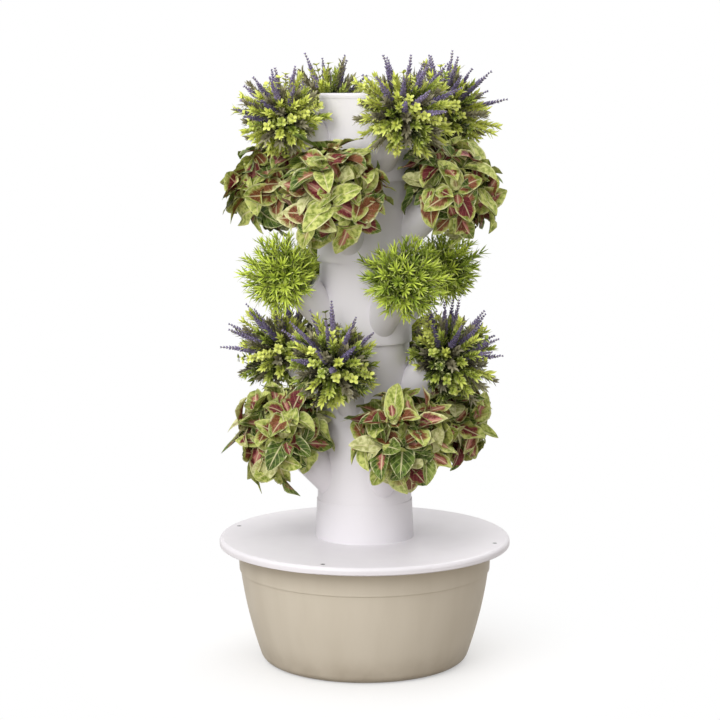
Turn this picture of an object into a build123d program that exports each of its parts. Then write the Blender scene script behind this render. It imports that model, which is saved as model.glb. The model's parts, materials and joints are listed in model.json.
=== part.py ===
from build123d import *
import math
import os

# A hydroponic tower: a tank with a lid, a column of stacked tiers with slanted pockets, and a pump inside.
# Millimetres, +Z up, origin on the floor under the middle of the tank.

# Water tank
TANK_FLOOR_R = 168
TANK_FOOT_SPREAD = 19
TANK_FOOT_Z = 14
TANK_BELLY = 4
TANK_TOP_R = 227
TANK_STEP_Z = 166
TANK_STEP = 2
TANK_BAND_LEAN = 2.5
TANK_WALL = 3
TANK_FLOOR = 4
FLANGE_REACH = 23
FLANGE_T = 4

# Lid, gasket and screws
LID_OVERHANG = 10
LID_TOP_Z = 224
LID_T = 4
LID_EDGE_DEPTH = 14
LID_EDGE_WALL = 4
LID_EDGE_ROUND = 7
LID_EDGE_FOOT = 2
GASKET_T = 2
GASKET_INSET = 2
SCREW_COUNT = 4
SCREW_INSET = 10
SCREW_TURN = 3
SCREW_R = 2
SCREW_HEAD_R = 4.2
SCREW_LENGTH = 15
SCREW_SOCKET_R = 1.6
SCREW_SOCKET_DEPTH = 1.5
SCREW_PLAY = 0.1
BOSS_WALL = 3.5
BOSS_FLOOR = 1.5

# Grommet in the rear wall of the tank
GROMMET_Z = 186
GROMMET_HOLE_R = 7
GROMMET_FLANGE_R = 11
GROMMET_FLANGE_T = 2
GROMMET_BORE_R = 3.5
GROMMET_PLAY = 2

# Column
BASE_H = 68
BASE_FOOT_R = 88
BASE_TOP_R = 85
BASE_SPIGOT_R = 70
BASE_SPIGOT_LENGTH = 14
TIER_COUNT = 5
TIER_H = 142
TIER_FOOT_R = 84
TIER_TOP_R = 79
TIER_TURN = 45
COLUMN_WALL = 3
SPIGOT_LENGTH = 16
FUNNEL_H = 9
SLIP = 0.3
KEY_WIDTH = 6
KEY_DEPTH = 3
KEY_PLAY = 0.5
SPIDER_ARMS = 3
SPIDER_ARM_W = 4
SPIDER_H = 8
CAP_RIM_H = 4
CAP_H = 8
CAP_OVERHANG = 1

# Pockets, each on an axis that leans out of the column
POCKET_COUNT = 4
POCKET_TILT = 40
POCKET_REACH = 120
POCKET_Z = 98
POCKET_R = 33
POCKET_END_R = 25
POCKET_LENGTH = 92
POCKET_WALL = 2.5
LIP_R = 36
LIP_H = 4

# Net cups and grow sponges, measured down from the pocket's mouth
CUP_FLANGE_R = 34.5
CUP_FLANGE_T = 2.5
CUP_DEPTH = 55
CUP_END_R = 21
CUP_WALL = 1.8
CUP_PLAY = 1.2
CUP_SLOT_PAIRS = 3
CUP_SLOT_W = 6
CUP_SLOT_TOP = 10
CUP_SLOT_BOTTOM = 46
CUP_DRAIN_R = 5
SPONGE_TOP = 12
SPONGE_PLAY = 0.9

# Plants: a crown over the mouth, moved towards the pocket's falling side
STEM_R = 5
CROWN_UP = 36
CROWN_OUT = 15
CROWN_DEPTH = 0.7
COLEUS_CROWN_R = 22
COLEUS_STALK_W = 5
COLEUS_BLADE_START = 32
COLEUS_LEAF_W = 36
COLEUS_LEAF_T = 2.4
COLEUS_REACH = 92
COLEUS_WHORLS = ((100, 7), (74, 7), (46, 6), (16, 3))
COLEUS_BACK_LIMIT = 80
HERB_CROWN_R = 32
HERB_REACH = 70
HERB_TUFTS = 26
HERB_TUFT_HALF = 5
HERB_TIP_HALF = 2
LAVENDER_CROWN_R = 32
LAVENDER_REACH = 66
LAVENDER_TUFTS = 22
LAVENDER_TUFT_HALF = 5
LAVENDER_TIP_HALF = 2.5
SPIKE_COUNT = 7
SPIKE_LEAN = 38
SPIKE_SPREAD = 26
SPIKE_STALK_HALF = 1.2
SPIKE_HALF = 4
SPIKE_START = 72
SPIKE_END = 114
SPREAD_FRONT = 118
SPREAD_BACK = 76
GOLDEN_ANGLE = 137.5

# Pump, riser pipe and spray head
FOOT_H = 6
FOOT_R = 8
FOOT_NECK_R = 4
FOOT_INSET = 9
PUMP_FRONT = 12
PUMP_BACK = 54
PUMP_W = 46
PUMP_H = 44
PUMP_ROUND = 5
CHAMBER_R = 17
CHAMBER_DEPTH = 20
MAGNET_R = 8.6
MAGNET_LENGTH = 30
MAGNET_PLAY = 0.6
SHAFT_R = 1.5
SHAFT_SEAT = 6
IMPELLER_RUN = 0.05
IMPELLER_PLAY = 1
HUB_R = 5
BLADE_COUNT = 6
BLADE_R = 14
BLADE_T = 2
NOZZLE_LENGTH = 20
NOZZLE_WALL = 2
PIPE_R = 10
PIPE_WALL = 2
PIPE_FIT = 0.05
COVER_DEPTH = 12
COVER_WALL = 2.5
COVER_SLOTS = 5
COVER_SLOT_W = 3
COVER_POST_R = 3.5
HEAD_DROP = 30
HEAD_SOCKET = 13
HEAD_WALL = 3
HEAD_R = 24
HEAD_RIM_H = 6
HEAD_CAVITY_H = 8
HEAD_HOLES = 8
HEAD_HOLE_R = 1.6

# Heights and radii that follow from the sizes above
TANK_FOOT_R = TANK_FLOOR_R + TANK_FOOT_SPREAD
TANK_BAND_R = TANK_TOP_R - TANK_BAND_LEAN
TANK_STEP_R = TANK_BAND_R - TANK_STEP
FLANGE_R = TANK_TOP_R + FLANGE_REACH
LID_R = FLANGE_R + LID_OVERHANG
SCREW_CIRCLE_R = FLANGE_R - SCREW_INSET
LID_UNDER_Z = LID_TOP_Z - LID_T
FLANGE_TOP_Z = LID_UNDER_Z - GASKET_T
FLANGE_UNDER_Z = FLANGE_TOP_Z - FLANGE_T
SCREW_TIP_Z = LID_TOP_Z - SCREW_LENGTH
STACK_Z = LID_TOP_Z + BASE_H
STACK_TOP_Z = STACK_Z + TIER_COUNT * TIER_H
HEAD_Z = STACK_TOP_Z - HEAD_DROP
SOCKET_R = TIER_TOP_R - COLUMN_WALL
SPIGOT_R = SOCKET_R - SLIP
POCKET_BORE_R = POCKET_R - POCKET_WALL
CUP_TOP_R = POCKET_BORE_R - CUP_PLAY
PUMP_Z = TANK_FLOOR + FOOT_H
PUMP_TOP_Z = PUMP_Z + PUMP_H
PUMP_AXIS_Z = PUMP_Z + PUMP_H / 2
PIPE_BORE_R = PIPE_R - PIPE_WALL
PIPE_TOP_Z = HEAD_Z + HEAD_SOCKET
PAST = 1


def turned(*edges):
    """Solid of revolution about Z from edges that close an outline in (radius, height)."""
    return revolve(Plane.XZ * make_face(list(edges)), Axis.Z)


def turned_polygon(*points):
    """Solid of revolution about Z from the corners of an outline in (radius, height)."""
    return turned(Polyline(*points, close=True))


def rod(radius, start, end):
    """Round bar between two points."""
    start, end = Vector(*start), Vector(*end)
    length = (end - start).length
    return Plane(start, z_dir=end - start) * Cylinder(
        radius, length, align=(Align.CENTER, Align.CENTER, Align.MIN)
    )


def block(low, high):
    """Box between two opposite corners."""
    size = [b - a for a, b in zip(low, high)]
    return Pos(*low) * Box(*size, align=Align.MIN)


def spaced(count, shape, turn=0):
    """Copies of a shape, evenly spaced about Z, the first one turned by turn."""
    return [Rot(0, 0, turn + 360 * i / count) * shape for i in range(count)]


def tank_outline(inset, floor_z, top_z):
    """Tank's section from the axis to the given height, drawn in from its outer face."""
    floor = (TANK_FLOOR_R - inset, floor_z)
    foot = (TANK_FOOT_R - inset, TANK_FOOT_Z)
    step = (TANK_STEP_R - inset, TANK_STEP_Z)
    band = (TANK_BAND_R - inset, TANK_STEP_Z)
    top = (TANK_TOP_R - inset, top_z)
    return (
        Line((0, floor_z), floor),
        TangentArc(floor, foot, tangent=(1, 0)),
        SagittaArc(foot, step, -TANK_BELLY),
        Polyline(step, band, top, (0, top_z), (0, floor_z)),
    )


def make_water_tank():
    flange = turned_polygon(
        (TANK_TOP_R - TANK_WALL, FLANGE_UNDER_Z),
        (FLANGE_R, FLANGE_UNDER_Z),
        (FLANGE_R, FLANGE_TOP_Z),
        (TANK_TOP_R - TANK_WALL, FLANGE_TOP_Z),
    )
    boss_r = SCREW_R + BOSS_WALL
    boss_z = SCREW_TIP_Z - BOSS_FLOOR
    boss = rod(boss_r, (SCREW_CIRCLE_R, 0, boss_z), (SCREW_CIRCLE_R, 0, FLANGE_TOP_Z))
    hole = rod(
        SCREW_R + SCREW_PLAY,
        (SCREW_CIRCLE_R, 0, SCREW_TIP_Z - SCREW_PLAY),
        (SCREW_CIRCLE_R, 0, FLANGE_TOP_Z + PAST),
    )
    cord_hole = rod(GROMMET_HOLE_R, (0, TANK_STEP_R / 2, GROMMET_Z), (0, FLANGE_R, GROMMET_Z))
    tank = turned(*tank_outline(0, 0, FLANGE_TOP_Z))
    tank = tank + [flange] + spaced(SCREW_COUNT, boss, SCREW_TURN)
    hollow = turned(*tank_outline(TANK_WALL, TANK_FLOOR, FLANGE_TOP_Z + PAST))
    return tank - [hollow, cord_hole] - spaced(SCREW_COUNT, hole, SCREW_TURN)


def make_tank_lid():
    edge_z = LID_TOP_Z - LID_EDGE_DEPTH
    inner_r = LID_R - LID_EDGE_WALL
    hole_r = BASE_SPIGOT_R + SLIP
    round_middle = (LID_R - LID_EDGE_ROUND, LID_TOP_Z - LID_EDGE_ROUND)
    foot_middle = (LID_R - LID_EDGE_FOOT, edge_z + LID_EDGE_FOOT)
    lid = turned(
        Line((hole_r, LID_TOP_Z), (LID_R - LID_EDGE_ROUND, LID_TOP_Z)),
        CenterArc(round_middle, LID_EDGE_ROUND, 0, 90),
        Line((LID_R, LID_TOP_Z - LID_EDGE_ROUND), (LID_R, edge_z + LID_EDGE_FOOT)),
        CenterArc(foot_middle, LID_EDGE_FOOT, 270, 90),
        Polyline(
            (LID_R - LID_EDGE_FOOT, edge_z),
            (inner_r, edge_z),
            (inner_r, LID_UNDER_Z),
            (hole_r, LID_UNDER_Z),
            (hole_r, LID_TOP_Z),
        ),
    )
    seat_r = SCREW_HEAD_R + SCREW_PLAY
    hole_r = SCREW_R + SCREW_PLAY
    seat = turned_polygon(
        (0, LID_UNDER_Z - PAST),
        (hole_r, LID_UNDER_Z - PAST),
        (hole_r, LID_TOP_Z - SCREW_HEAD_R + SCREW_R),
        (seat_r, LID_TOP_Z),
        (seat_r, LID_TOP_Z + PAST),
        (0, LID_TOP_Z + PAST),
    )
    return lid - spaced(SCREW_COUNT, Pos(SCREW_CIRCLE_R, 0, 0) * seat, SCREW_TURN)


def make_lid_gasket():
    ring = turned_polygon(
        (TANK_TOP_R + GASKET_INSET, FLANGE_TOP_Z),
        (FLANGE_R - GASKET_INSET, FLANGE_TOP_Z),
        (FLANGE_R - GASKET_INSET, LID_UNDER_Z),
        (TANK_TOP_R + GASKET_INSET, LID_UNDER_Z),
    )
    hole = rod(
        SCREW_R + SCREW_PLAY,
        (SCREW_CIRCLE_R, 0, FLANGE_TOP_Z - PAST),
        (SCREW_CIRCLE_R, 0, LID_UNDER_Z + PAST),
    )
    return ring - spaced(SCREW_COUNT, hole, SCREW_TURN)


def make_lid_screws():
    """Countersunk screws, with their heads flush in the lid and their tips in the tank's bosses."""
    screw = turned_polygon(
        (0, SCREW_TIP_Z),
        (SCREW_R, SCREW_TIP_Z),
        (SCREW_R, LID_TOP_Z - SCREW_HEAD_R + SCREW_R),
        (SCREW_HEAD_R, LID_TOP_Z),
        (SCREW_SOCKET_R, LID_TOP_Z),
        (SCREW_SOCKET_R, LID_TOP_Z - SCREW_SOCKET_DEPTH),
        (0, LID_TOP_Z - SCREW_SOCKET_DEPTH),
    )
    return Compound(spaced(SCREW_COUNT, Pos(SCREW_CIRCLE_R, 0, 0) * screw, SCREW_TURN))


def make_cable_grommet():
    """Rubber ring in the rear wall's hole, with a flange on each side of the wall."""
    share = (GROMMET_Z - TANK_STEP_Z) / (FLANGE_TOP_Z - TANK_STEP_Z)
    wall_r = TANK_BAND_R + share * TANK_BAND_LEAN - TANK_WALL / 2
    half = (TANK_WALL + GROMMET_PLAY) / 2
    ring = turned_polygon(
        (GROMMET_BORE_R, -half - GROMMET_FLANGE_T),
        (GROMMET_FLANGE_R, -half - GROMMET_FLANGE_T),
        (GROMMET_FLANGE_R, -half),
        (GROMMET_HOLE_R, -half),
        (GROMMET_HOLE_R, half),
        (GROMMET_FLANGE_R, half),
        (GROMMET_FLANGE_R, half + GROMMET_FLANGE_T),
        (GROMMET_BORE_R, half + GROMMET_FLANGE_T),
    )
    return Pos(0, wall_r, GROMMET_Z) * Rot(-90, 0, 0) * ring


def key_rib(top_z):
    """Rib inside a socket that keeps the piece above from turning, on the +X side."""
    return block(
        (SOCKET_R - KEY_DEPTH, -KEY_WIDTH / 2, top_z - SPIGOT_LENGTH),
        (SOCKET_R + COLUMN_WALL / 2, KEY_WIDTH / 2, top_z - KEY_PLAY),
    )


def key_slot(shoulder_z):
    """Cut in a spigot that takes the rib of the piece below, on the +X side."""
    return block(
        (SOCKET_R - KEY_DEPTH - COLUMN_WALL, -KEY_WIDTH / 2 - KEY_PLAY, shoulder_z - SPIGOT_LENGTH - PAST),
        (SOCKET_R, KEY_WIDTH / 2 + KEY_PLAY, shoulder_z),
    )


def make_tower_base():
    """Foot of the column, with a socket for the first tier and a spider that steadies the riser pipe."""
    spigot_bore_r = BASE_SPIGOT_R - COLUMN_WALL
    foot_z = LID_TOP_Z - BASE_SPIGOT_LENGTH
    floor_z = LID_TOP_Z + COLUMN_WALL
    roof_z = STACK_Z - COLUMN_WALL
    shell = turned_polygon(
        (spigot_bore_r, foot_z),
        (BASE_SPIGOT_R, foot_z),
        (BASE_SPIGOT_R, LID_TOP_Z),
        (BASE_FOOT_R, LID_TOP_Z),
        (BASE_TOP_R, STACK_Z),
        (SOCKET_R, STACK_Z),
        (SOCKET_R, STACK_Z - SPIGOT_LENGTH - PAST),
        (SOCKET_R + COLUMN_WALL, STACK_Z - SPIGOT_LENGTH - PAST),
        (SOCKET_R + COLUMN_WALL, roof_z),
        (BASE_TOP_R - COLUMN_WALL, roof_z),
        (BASE_FOOT_R - COLUMN_WALL, floor_z),
        (spigot_bore_r, floor_z),
    )
    ring_r = PIPE_R + SLIP + COLUMN_WALL
    ring = rod(ring_r, (0, 0, foot_z), (0, 0, foot_z + SPIDER_H))
    arm = block((0, -SPIDER_ARM_W / 2, foot_z), (spigot_bore_r + PAST, SPIDER_ARM_W / 2, foot_z + SPIDER_H))
    bore = rod(PIPE_R + SLIP, (0, 0, foot_z - PAST), (0, 0, STACK_Z))
    return shell + [ring, key_rib(STACK_Z)] + spaced(SPIDER_ARMS, arm) - bore


def pocket_planes():
    """Planes at the mouths of one tier's pockets: Z out of the pocket, X towards its falling side."""
    planes = []
    tilt = math.radians(POCKET_TILT)
    for i in range(POCKET_COUNT):
        turn = 2 * math.pi * i / POCKET_COUNT
        away = Vector(math.cos(turn), math.sin(turn), 0)
        up = Vector(0, 0, 1)
        planes.append(
            Plane(
                away * POCKET_REACH + up * POCKET_Z,
                x_dir=away * math.cos(tilt) - up * math.sin(tilt),
                z_dir=away * math.sin(tilt) + up * math.cos(tilt),
            )
        )
    return planes


def make_tier():
    """Column piece with its foot at height 0, its spigot below and its pockets on the X and Y axes."""
    spigot_bore_r = SPIGOT_R - COLUMN_WALL
    column = turned_polygon(
        (0, -SPIGOT_LENGTH),
        (SPIGOT_R, -SPIGOT_LENGTH),
        (SPIGOT_R, 0),
        (TIER_FOOT_R, 0),
        (TIER_TOP_R, TIER_H),
        (0, TIER_H),
    )
    bore = turned_polygon(
        (0, -SPIGOT_LENGTH - PAST),
        (spigot_bore_r, -SPIGOT_LENGTH - PAST),
        (spigot_bore_r, 0),
        (TIER_FOOT_R - COLUMN_WALL, FUNNEL_H),
        (SOCKET_R, TIER_H),
        (SOCKET_R, TIER_H + PAST),
        (0, TIER_H + PAST),
    )
    pocket = turned_polygon(
        (0, -POCKET_LENGTH),
        (POCKET_END_R, -POCKET_LENGTH),
        (POCKET_R, -LIP_H),
        (LIP_R, -LIP_H),
        (LIP_R, 0),
        (0, 0),
    )
    pocket_bore = turned_polygon(
        (0, -POCKET_LENGTH - PAST),
        (POCKET_END_R - POCKET_WALL, -POCKET_LENGTH - PAST),
        (POCKET_BORE_R, 0),
        (POCKET_BORE_R, PAST),
        (0, PAST),
    )
    planes = pocket_planes()
    tier = column + [plane * pocket for plane in planes]
    tier = tier - [bore] - [plane * pocket_bore for plane in planes]
    tier = tier - Rot(0, 0, -TIER_TURN) * key_slot(0)
    return tier + key_rib(TIER_H)


def make_top_cap():
    """Closed cap with a plug ring that sits in the top tier's socket."""
    rim_r = TIER_TOP_R + CAP_OVERHANG
    round_r = CAP_H - CAP_RIM_H
    roof_z = CAP_H - COLUMN_WALL
    plug_bore_r = SPIGOT_R - COLUMN_WALL
    plug_foot = (SPIGOT_R, -SPIGOT_LENGTH)
    cap = turned(
        Polyline((0, roof_z), (plug_bore_r, roof_z), (plug_bore_r, -SPIGOT_LENGTH), plug_foot),
        Polyline(plug_foot, (SPIGOT_R, 0), (rim_r, 0), (rim_r, CAP_RIM_H)),
        CenterArc((rim_r - round_r, CAP_RIM_H), round_r, 0, 90),
        Polyline((rim_r - round_r, CAP_H), (0, CAP_H), (0, roof_z)),
    )
    return cap - key_slot(0)


def make_net_cup():
    """Slotted basket, drawn with its pocket's mouth at height 0."""
    cup = turned_polygon(
        (0, -CUP_DEPTH),
        (CUP_END_R, -CUP_DEPTH),
        (CUP_TOP_R, 0),
        (CUP_FLANGE_R, 0),
        (CUP_FLANGE_R, CUP_FLANGE_T),
        (CUP_TOP_R - CUP_WALL, CUP_FLANGE_T),
        (CUP_END_R - CUP_WALL, CUP_WALL - CUP_DEPTH),
        (0, CUP_WALL - CUP_DEPTH),
    )
    slot = block((-LIP_R, -CUP_SLOT_W / 2, -CUP_SLOT_BOTTOM), (LIP_R, CUP_SLOT_W / 2, -CUP_SLOT_TOP))
    slots = [Rot(0, 0, 180 * i / CUP_SLOT_PAIRS) * slot for i in range(CUP_SLOT_PAIRS)]
    drain = rod(CUP_DRAIN_R, (0, 0, -CUP_DEPTH - PAST), (0, 0, PAST - CUP_DEPTH + CUP_WALL))
    return cup - slots - drain


def make_sponge():
    """Tapered grow sponge that stands on the cup's floor."""
    floor_z = CUP_WALL - CUP_DEPTH
    taper = (CUP_TOP_R - CUP_END_R) / (CUP_DEPTH - CUP_WALL + CUP_FLANGE_T)
    end_r = CUP_END_R - CUP_WALL - SPONGE_PLAY
    top_r = end_r + taper * (CUP_DEPTH - CUP_WALL - SPONGE_TOP)
    return turned_polygon((0, floor_z), (end_r, floor_z), (top_r, -SPONGE_TOP), (0, -SPONGE_TOP))


def crown_plane(polar, turn):
    """Plane at the crown: X along a ray that leaves the pocket's axis by polar, at a turn about it."""
    polar, turn = math.radians(polar), math.radians(turn)
    ray = Vector(math.sin(polar) * math.cos(turn), math.sin(polar) * math.sin(turn), math.cos(polar))
    side = Vector(-math.sin(turn), math.cos(turn), 0)
    return Plane((CROWN_OUT, 0, CROWN_UP), x_dir=ray, z_dir=ray.cross(side))


def crown_and_stem(crown_r):
    """Close middle of the foliage, on a stem that stands on the sponge."""
    waist = crown_r / 2
    crown = turned_polygon(
        (0, -crown_r), (waist, -crown_r), (crown_r, -waist), (crown_r, waist), (waist, crown_r), (0, crown_r)
    )
    stem = rod(STEM_R, (0, 0, -SPONGE_TOP), (0, 0, CROWN_UP))
    return Pos(CROWN_OUT, 0, CROWN_UP) * crown + stem


def spread_rays(count):
    """Rays in a sunflower spread, wide on the falling side and narrow towards the column."""
    rays = []
    middle = (SPREAD_FRONT + SPREAD_BACK) / 2
    swing = (SPREAD_FRONT - SPREAD_BACK) / 2
    for i in range(count):
        turn = GOLDEN_ANGLE * i
        widest = math.radians(middle + swing * math.cos(math.radians(turn)))
        polar = math.acos(1 - (1 - math.cos(widest)) * (i + 0.5) / count)
        rays.append((math.degrees(polar), turn))
    return rays


def tapered(*sections):
    """Four-sided stalk through (distance, half width) sections, drawn along X."""
    across = Rot(0, 90, 0)
    outlines = [Pos(x, 0, 0) * across * Rectangle(2 * half, 2 * half) for x, half in sections]
    return loft(outlines, ruled=True)


def make_coleus():
    """Broad pointed leaves on stalks, in whorls from hanging to upright."""
    half_stalk = COLEUS_STALK_W / 2
    half_leaf = COLEUS_LEAF_W / 2
    root = COLEUS_CROWN_R * CROWN_DEPTH
    shoulder = COLEUS_BLADE_START + COLEUS_LEAF_W / 2
    outline = Polyline(
        (root, -half_stalk),
        (COLEUS_BLADE_START, -half_stalk),
        (shoulder, -half_leaf),
        (COLEUS_REACH, 0),
        (shoulder, half_leaf),
        (COLEUS_BLADE_START, half_stalk),
        (root, half_stalk),
        close=True,
    )
    leaf = extrude(make_face(outline), COLEUS_LEAF_T / 2, both=True)
    leaves = []
    for row, (polar, count) in enumerate(COLEUS_WHORLS):
        for i in range(count):
            turn = 360 * (i + row / 2) / count
            if polar < COLEUS_BACK_LIMIT or math.cos(math.radians(turn)) > 0:
                leaves.append(crown_plane(polar, turn) * leaf)
    return crown_and_stem(COLEUS_CROWN_R) + leaves


def make_needle_herb():
    """Dense ball of fine tufts that stand out of the crown all round."""
    tuft = tapered((HERB_CROWN_R * CROWN_DEPTH, HERB_TUFT_HALF), (HERB_REACH, HERB_TIP_HALF))
    tufts = [crown_plane(polar, turn) * tuft for polar, turn in spread_rays(HERB_TUFTS)]
    return crown_and_stem(HERB_CROWN_R) + tufts


def make_lavender():
    """Small-leaved bush with flower spikes that lean up towards the column."""
    root = LAVENDER_CROWN_R * CROWN_DEPTH
    tuft = tapered((root, LAVENDER_TUFT_HALF), (LAVENDER_REACH, LAVENDER_TIP_HALF))
    belly = (SPIKE_START * 2 + SPIKE_END) / 3
    spike = tapered(
        (root, SPIKE_STALK_HALF),
        (SPIKE_START, SPIKE_STALK_HALF),
        (belly, SPIKE_HALF),
        (SPIKE_END, SPIKE_STALK_HALF),
    )
    upright = crown_plane(SPIKE_LEAN, 180).x_dir
    growth = []
    for polar, turn in spread_rays(LAVENDER_TUFTS):
        plane = crown_plane(polar, turn)
        if plane.x_dir.get_angle(upright) > SPIKE_SPREAD:
            growth.append(plane * tuft)
    sideways = Vector(0, 1, 0)
    forwards = sideways.cross(upright)
    for i in range(SPIKE_COUNT):
        turn = math.radians(GOLDEN_ANGLE * i)
        away = math.radians(SPIKE_SPREAD * math.sqrt((i + 0.5) / SPIKE_COUNT))
        across = sideways * math.sin(turn) + forwards * math.cos(turn)
        ray = upright * math.cos(away) + across * math.sin(away)
        growth.append(Plane((CROWN_OUT, 0, CROWN_UP), x_dir=ray, z_dir=ray.cross(sideways)) * spike)
    return crown_and_stem(LAVENDER_CROWN_R) + growth


def make_pump_body():
    """Rounded case with an impeller chamber at its front and an outlet nozzle on top."""
    case = block((-PUMP_BACK, -PUMP_W / 2, PUMP_Z), (PUMP_FRONT, PUMP_W / 2, PUMP_TOP_Z))
    case = fillet(case.edges().filter_by(Axis.X), PUMP_ROUND)
    nozzle = rod(PIPE_BORE_R - PIPE_FIT, (0, 0, PUMP_TOP_Z - PAST), (0, 0, PUMP_TOP_Z + NOZZLE_LENGTH))
    chamber_back = PUMP_FRONT - CHAMBER_DEPTH
    magnet_back = chamber_back - MAGNET_LENGTH
    chamber = rod(CHAMBER_R, (chamber_back, 0, PUMP_AXIS_Z), (PUMP_FRONT + PAST, 0, PUMP_AXIS_Z))
    magnet_bore = rod(
        MAGNET_R + MAGNET_PLAY, (magnet_back, 0, PUMP_AXIS_Z), (chamber_back + PAST, 0, PUMP_AXIS_Z)
    )
    shaft_seat = rod(SHAFT_R, (magnet_back - SHAFT_SEAT, 0, PUMP_AXIS_Z), (chamber_back, 0, PUMP_AXIS_Z))
    outlet = rod(
        PIPE_BORE_R - NOZZLE_WALL, (0, 0, PUMP_AXIS_Z), (0, 0, PUMP_TOP_Z + NOZZLE_LENGTH + PAST)
    )
    return case + nozzle - [chamber, magnet_bore, shaft_seat, outlet]


def make_pump_intake_cover():
    """Slotted cap over the impeller chamber, with a post that holds the shaft's front end."""
    front = PUMP_FRONT + COVER_DEPTH
    low_z = PUMP_Z + PUMP_ROUND
    high_z = PUMP_TOP_Z - PUMP_ROUND
    half_w = PUMP_W / 2 - COVER_WALL
    cover = block((PUMP_FRONT, -PUMP_W / 2, low_z), (front, PUMP_W / 2, high_z))
    hollow = block(
        (PUMP_FRONT - PAST, -half_w, low_z + COVER_WALL), (front - COVER_WALL, half_w, high_z - COVER_WALL)
    )
    post = rod(COVER_POST_R, (PUMP_FRONT, 0, PUMP_AXIS_Z), (front, 0, PUMP_AXIS_Z))
    shaft_seat = rod(SHAFT_R, (PUMP_FRONT - PAST, 0, PUMP_AXIS_Z), (PUMP_FRONT + SHAFT_SEAT, 0, PUMP_AXIS_Z))
    cover = cover - hollow
    pitch = 2 * half_w / (COVER_SLOTS + 1)
    for i in range(COVER_SLOTS):
        middle = pitch * (i + 1) - half_w
        cover = cover - block(
            (front - COVER_WALL - PAST, middle - COVER_SLOT_W / 2, low_z + 2 * COVER_WALL),
            (front + PAST, middle + COVER_SLOT_W / 2, high_z - 2 * COVER_WALL),
        )
    return cover + post - shaft_seat


def make_pump_shaft():
    back = PUMP_FRONT - CHAMBER_DEPTH - MAGNET_LENGTH - SHAFT_SEAT
    return rod(SHAFT_R, (back, 0, PUMP_AXIS_Z), (PUMP_FRONT + SHAFT_SEAT, 0, PUMP_AXIS_Z))


def make_pump_impeller():
    """Magnet, hub and flat blades that turn together on the shaft."""
    chamber_back = PUMP_FRONT - CHAMBER_DEPTH
    back = chamber_back - MAGNET_LENGTH + IMPELLER_PLAY
    front = PUMP_FRONT - IMPELLER_PLAY
    blade_back = chamber_back + IMPELLER_PLAY
    magnet = rod(MAGNET_R, (back, 0, 0), (blade_back, 0, 0))
    hub = rod(HUB_R, (blade_back - PAST, 0, 0), (front, 0, 0))
    blade = block((blade_back - PAST, -BLADE_T / 2, 0), (front, BLADE_T / 2, BLADE_R))
    blades = [Rot(360 * i / BLADE_COUNT, 0, 0) * blade for i in range(BLADE_COUNT)]
    disc = rod(BLADE_R, (blade_back, 0, 0), (blade_back + BLADE_T, 0, 0))
    trim = rod(BLADE_R, (blade_back, 0, 0), (front, 0, 0))
    bore = rod(SHAFT_R + IMPELLER_RUN, (back - PAST, 0, 0), (front + PAST, 0, 0))
    wheel = (hub + blades + [disc]) & trim
    return Pos(0, 0, PUMP_AXIS_Z) * (magnet + wheel - bore)


def make_pump_feet():
    """Rubber suction cups between the pump and the tank's floor."""
    foot = turned_polygon((0, TANK_FLOOR), (FOOT_R, TANK_FLOOR), (FOOT_NECK_R, PUMP_Z), (0, PUMP_Z))
    xs = (FOOT_INSET - PUMP_BACK, PUMP_FRONT - FOOT_INSET)
    ys = (FOOT_INSET - PUMP_W / 2, PUMP_W / 2 - FOOT_INSET)
    return Compound([Pos(x, y, 0) * foot for x in xs for y in ys])


def make_riser_pipe():
    return turned_polygon(
        (PIPE_BORE_R, PUMP_TOP_Z), (PIPE_R, PUMP_TOP_Z), (PIPE_R, PIPE_TOP_Z), (PIPE_BORE_R, PIPE_TOP_Z)
    )


def make_spray_head():
    """Mushroom cap on the riser that throws water outwards through a ring of holes."""
    cavity_top = PIPE_TOP_Z + HEAD_CAVITY_H
    socket_r = PIPE_R + PIPE_FIT
    neck_r = socket_r + HEAD_WALL
    rim_z = PIPE_TOP_Z + HEAD_CAVITY_H / 2 - HEAD_RIM_H / 2
    head = turned_polygon(
        (socket_r, HEAD_Z),
        (neck_r, HEAD_Z),
        (neck_r, rim_z - HEAD_WALL),
        (HEAD_R, rim_z),
        (HEAD_R, rim_z + HEAD_RIM_H),
        (PIPE_BORE_R, cavity_top + HEAD_WALL),
        (0, cavity_top + HEAD_WALL),
        (0, cavity_top),
        (PIPE_BORE_R, cavity_top),
        (PIPE_BORE_R, PIPE_TOP_Z),
        (socket_r, PIPE_TOP_Z),
    )
    hole_z = rim_z + HEAD_RIM_H / 2
    hole = rod(HEAD_HOLE_R, (PIPE_BORE_R - PAST, 0, hole_z), (HEAD_R + PAST, 0, hole_z))
    return head - spaced(HEAD_HOLES, hole)


def write(node, shape):
    export_step(shape, f"parts/{node}.step")


os.makedirs("parts", exist_ok=True)

write("water_tank", make_water_tank())
write("tank_lid", make_tank_lid())
write("lid_gasket", make_lid_gasket())
write("lid_screws", make_lid_screws())
write("cable_grommet", make_cable_grommet())
write("tower_base", make_tower_base())
write("pump_body", make_pump_body())
write("pump_intake_cover", make_pump_intake_cover())
write("pump_shaft", make_pump_shaft())
write("pump_impeller", make_pump_impeller())
write("pump_feet", make_pump_feet())
write("riser_pipe", make_riser_pipe())
write("spray_head", make_spray_head())

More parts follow.
